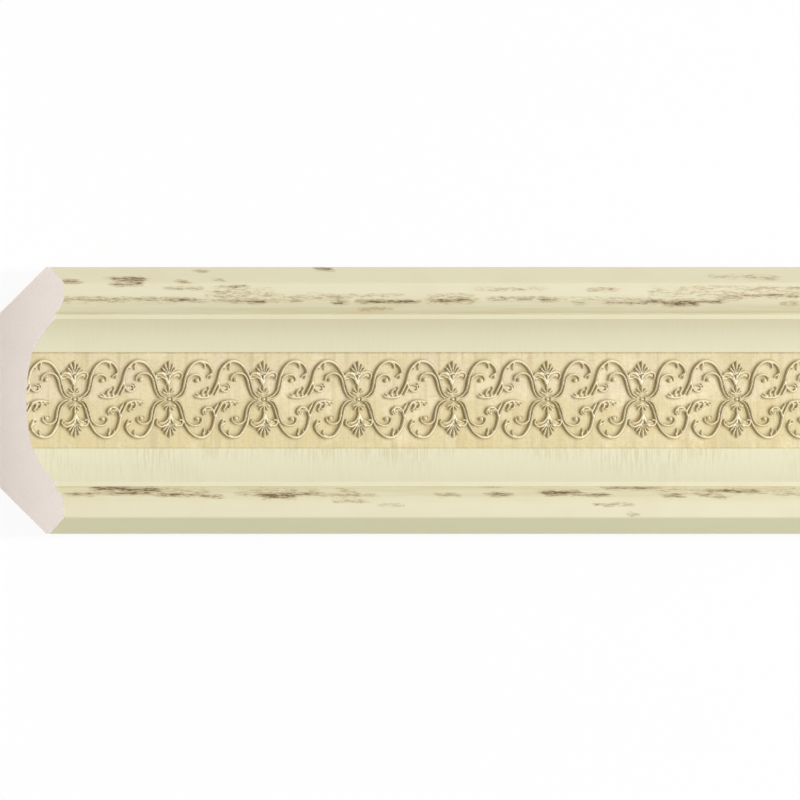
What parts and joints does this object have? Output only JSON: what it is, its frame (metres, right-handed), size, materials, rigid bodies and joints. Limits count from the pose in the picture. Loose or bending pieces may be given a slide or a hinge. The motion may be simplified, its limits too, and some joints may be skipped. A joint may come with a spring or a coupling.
{
  "type": "cornice moulding",
  "caption": "Embossed cornice moulding in stock length: 45 degree gluing faces, twin rolls and coves, and a sunk band of scrollwork, in worn antique cream paint.",
  "frame": {"origin": "on the flat back, under the middle of the length and midway between the two lips; the piece lies on its back, face up", "axes": "+X along the length, +Y across the face towards the lip that is uppermost in the picture, +Z out of the decorated face"},
  "size_m": [2.4, 0.1074, 0.0259],
  "materials": {
    "painted_moulding": "antique cream paint, satin, with worn streaks"
  },
  "bodies": {
    "root": {"cornice_moulding": "painted_moulding"}
  },
  "joints": []
}
